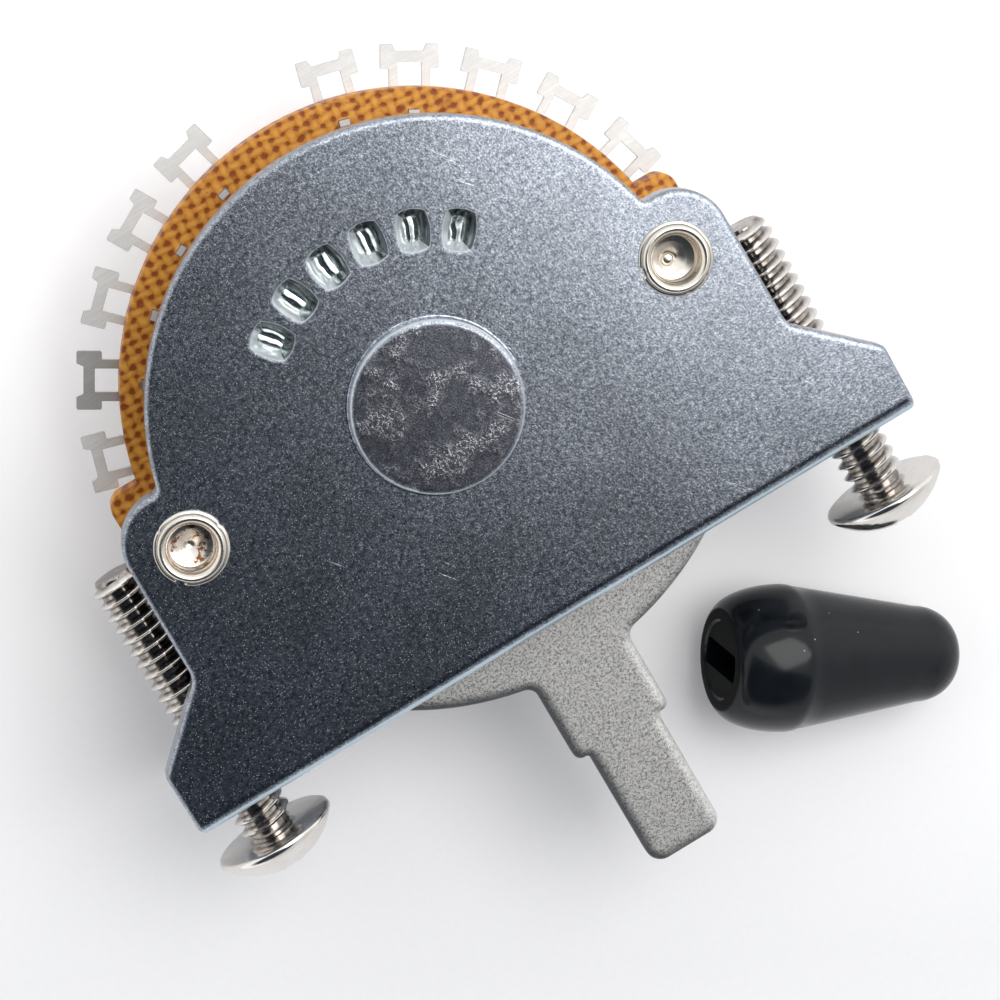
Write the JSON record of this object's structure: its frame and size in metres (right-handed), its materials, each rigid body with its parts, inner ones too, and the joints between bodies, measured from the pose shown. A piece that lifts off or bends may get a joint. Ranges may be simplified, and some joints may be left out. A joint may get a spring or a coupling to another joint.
{
  "type": "guitar pickup selector switch",
  "caption": "Lever switch for an electric guitar: bent steel frame, swinging flat lever with detents, wafer with solder lugs, mounting screws and a loose black lever cap.",
  "frame": {"origin": "middle of the lever slot on the flange's outer face, the face that lies against the guitar's panel", "axes": "+X along the flange, +Y from the flange back towards the solder lugs, +Z from the lever's mid-plane towards the frame's plate"},
  "size_m": [0.049, 0.0544, 0.0178],
  "materials": {
    "zinc_steel": "zinc plated, fine grain",
    "laminate": "brown woven laminate",
    "plated_spacer": "plated",
    "rivet_metal": "nickel plated brass",
    "tinned_brass": "tinned",
    "nickel": "nickel plated",
    "lever_steel": "matte grained plating",
    "spring_steel": "spring steel",
    "black_plastic": "glossy black"
  },
  "bodies": {
    "switch": {"frame": "zinc_steel", "wafer": "laminate", "spacer_left": "plated_spacer", "spacer_right": "plated_spacer", "rivet_left": "rivet_metal", "rivet_right": "rivet_metal", "rivet_washer_left": "rivet_metal", "rivet_washer_right": "rivet_metal", "lug_1": "tinned_brass", "lug_2": "tinned_brass", "lug_3": "tinned_brass", "lug_4": "tinned_brass", "lug_5": "tinned_brass", "lug_6": "tinned_brass", "lug_7": "tinned_brass", "lug_8": "tinned_brass", "lug_9": "tinned_brass", "lug_10": "tinned_brass", "mounting_screw_left": "nickel", "mounting_screw_right": "nickel", "lever_cap": "black_plastic"},
    "swing": {"lever": "lever_steel", "pivot_hub": "lever_steel", "detent_spring": "spring_steel", "lever_spacer": "laminate", "rotor": "laminate", "rotor_blade_1": "tinned_brass", "rotor_blade_2": "tinned_brass", "rotor_rivets": "rivet_metal", "retaining_clip": "spring_steel"}
  },
  "joints": [
    {"name": "lever_swing", "type": "hinge", "parent": "switch", "child": "swing", "pos_m": [0, 0.0145, 0], "axis": [0, 0, 1], "range_deg": [-30, 30], "deforming": ["detent_spring"]}
  ]
}
